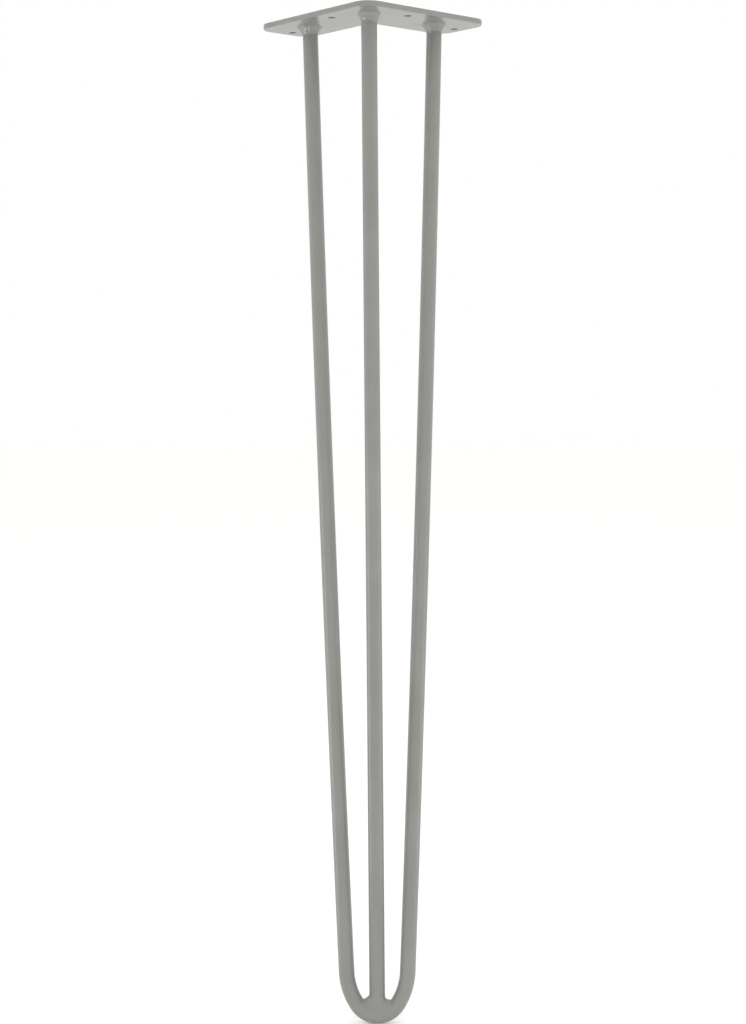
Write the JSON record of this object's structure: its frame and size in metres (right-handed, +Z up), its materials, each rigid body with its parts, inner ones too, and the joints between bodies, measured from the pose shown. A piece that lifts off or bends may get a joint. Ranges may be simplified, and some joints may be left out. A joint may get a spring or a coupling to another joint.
{
  "type": "hairpin table leg",
  "caption": "Hairpin table leg: round steel rods welded under an L-shaped screw plate and meeting in a pointed bend at the floor, in grey powder coat.",
  "frame": {"origin": "on the mounting plate's top face, midway between the two inner screw holes", "axes": "+Z up, out of the plate's top face; +Y along the plate's diagonal, from its outer corner towards the table's middle; +X to the right. The leg is a mirror image of itself in the plane X = 0"},
  "size_m": [0.1604, 0.1601, 0.711],
  "materials": {
    "plate_coat": "semi-gloss grey powder coat on steel sheet",
    "rod_coat": "semi-gloss grey powder coat on round steel bar",
    "weld_coat": "semi-gloss grey powder coat over uneven weld metal"
  },
  "bodies": {
    "root": {"mounting_plate": "plate_coat", "hairpin_rod": "rod_coat", "centre_rod": "rod_coat", "corner_weld": "weld_coat", "left_weld": "weld_coat", "right_weld": "weld_coat", "foot_weld": "weld_coat"}
  },
  "joints": []
}
